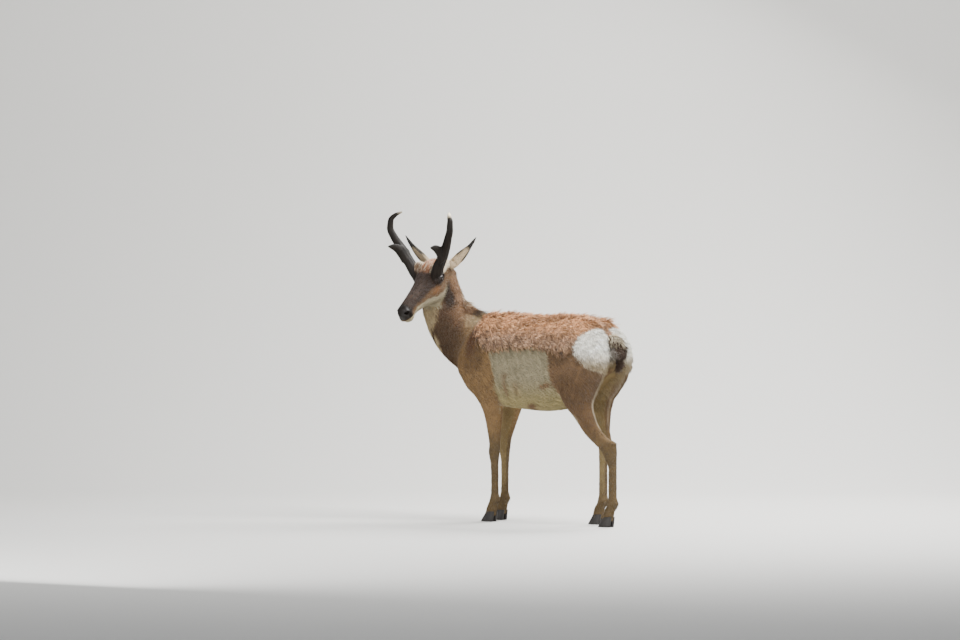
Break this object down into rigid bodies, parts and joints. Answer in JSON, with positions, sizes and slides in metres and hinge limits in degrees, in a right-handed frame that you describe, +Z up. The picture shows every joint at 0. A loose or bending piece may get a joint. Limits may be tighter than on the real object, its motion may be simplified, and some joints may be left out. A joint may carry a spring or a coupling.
{
  "type": "pronghorn",
  "caption": "Life-size standing pronghorn buck with its head turned to its left, forked horns, a shaggy back, a rump patch and cloven hooves.",
  "frame": {"origin": "on the ground under the middle of the whole animal's bounding box", "axes": "+Z up, -Y the way the body faces, +X the animal's left"},
  "size_m": [0.447, 1.1798, 1.2817],
  "materials": {
    "body_coat": "long, brittle hair in overlapping locks",
    "neck_coat": "short hair, with a dark mane",
    "face_coat": "short, close hair",
    "leg_coat": "short, close hair",
    "tail_coat": "short tuft of hair",
    "ear_coat": "short hair with a dark edge",
    "horn": "ridged, near-black sheath",
    "eye": "wet and dark",
    "hoof": "smooth, black"
  },
  "bodies": {
    "root": {"torso": "body_coat", "neck": "neck_coat", "head": "face_coat", "tail": "tail_coat", "ear_left": "ear_coat", "eye_left": "eye", "horn_left": "horn", "ear_right": "ear_coat", "eye_right": "eye", "horn_right": "horn", "leg_fore_left": "leg_coat", "hoof_fore_left_inner": "hoof", "hoof_fore_left_outer": "hoof", "leg_fore_right": "leg_coat", "hoof_fore_right_inner": "hoof", "hoof_fore_right_outer": "hoof", "leg_hind_left": "leg_coat", "hoof_hind_left_inner": "hoof", "hoof_hind_left_outer": "hoof", "leg_hind_right": "leg_coat", "hoof_hind_right_inner": "hoof", "hoof_hind_right_outer": "hoof"}
  },
  "joints": []
}
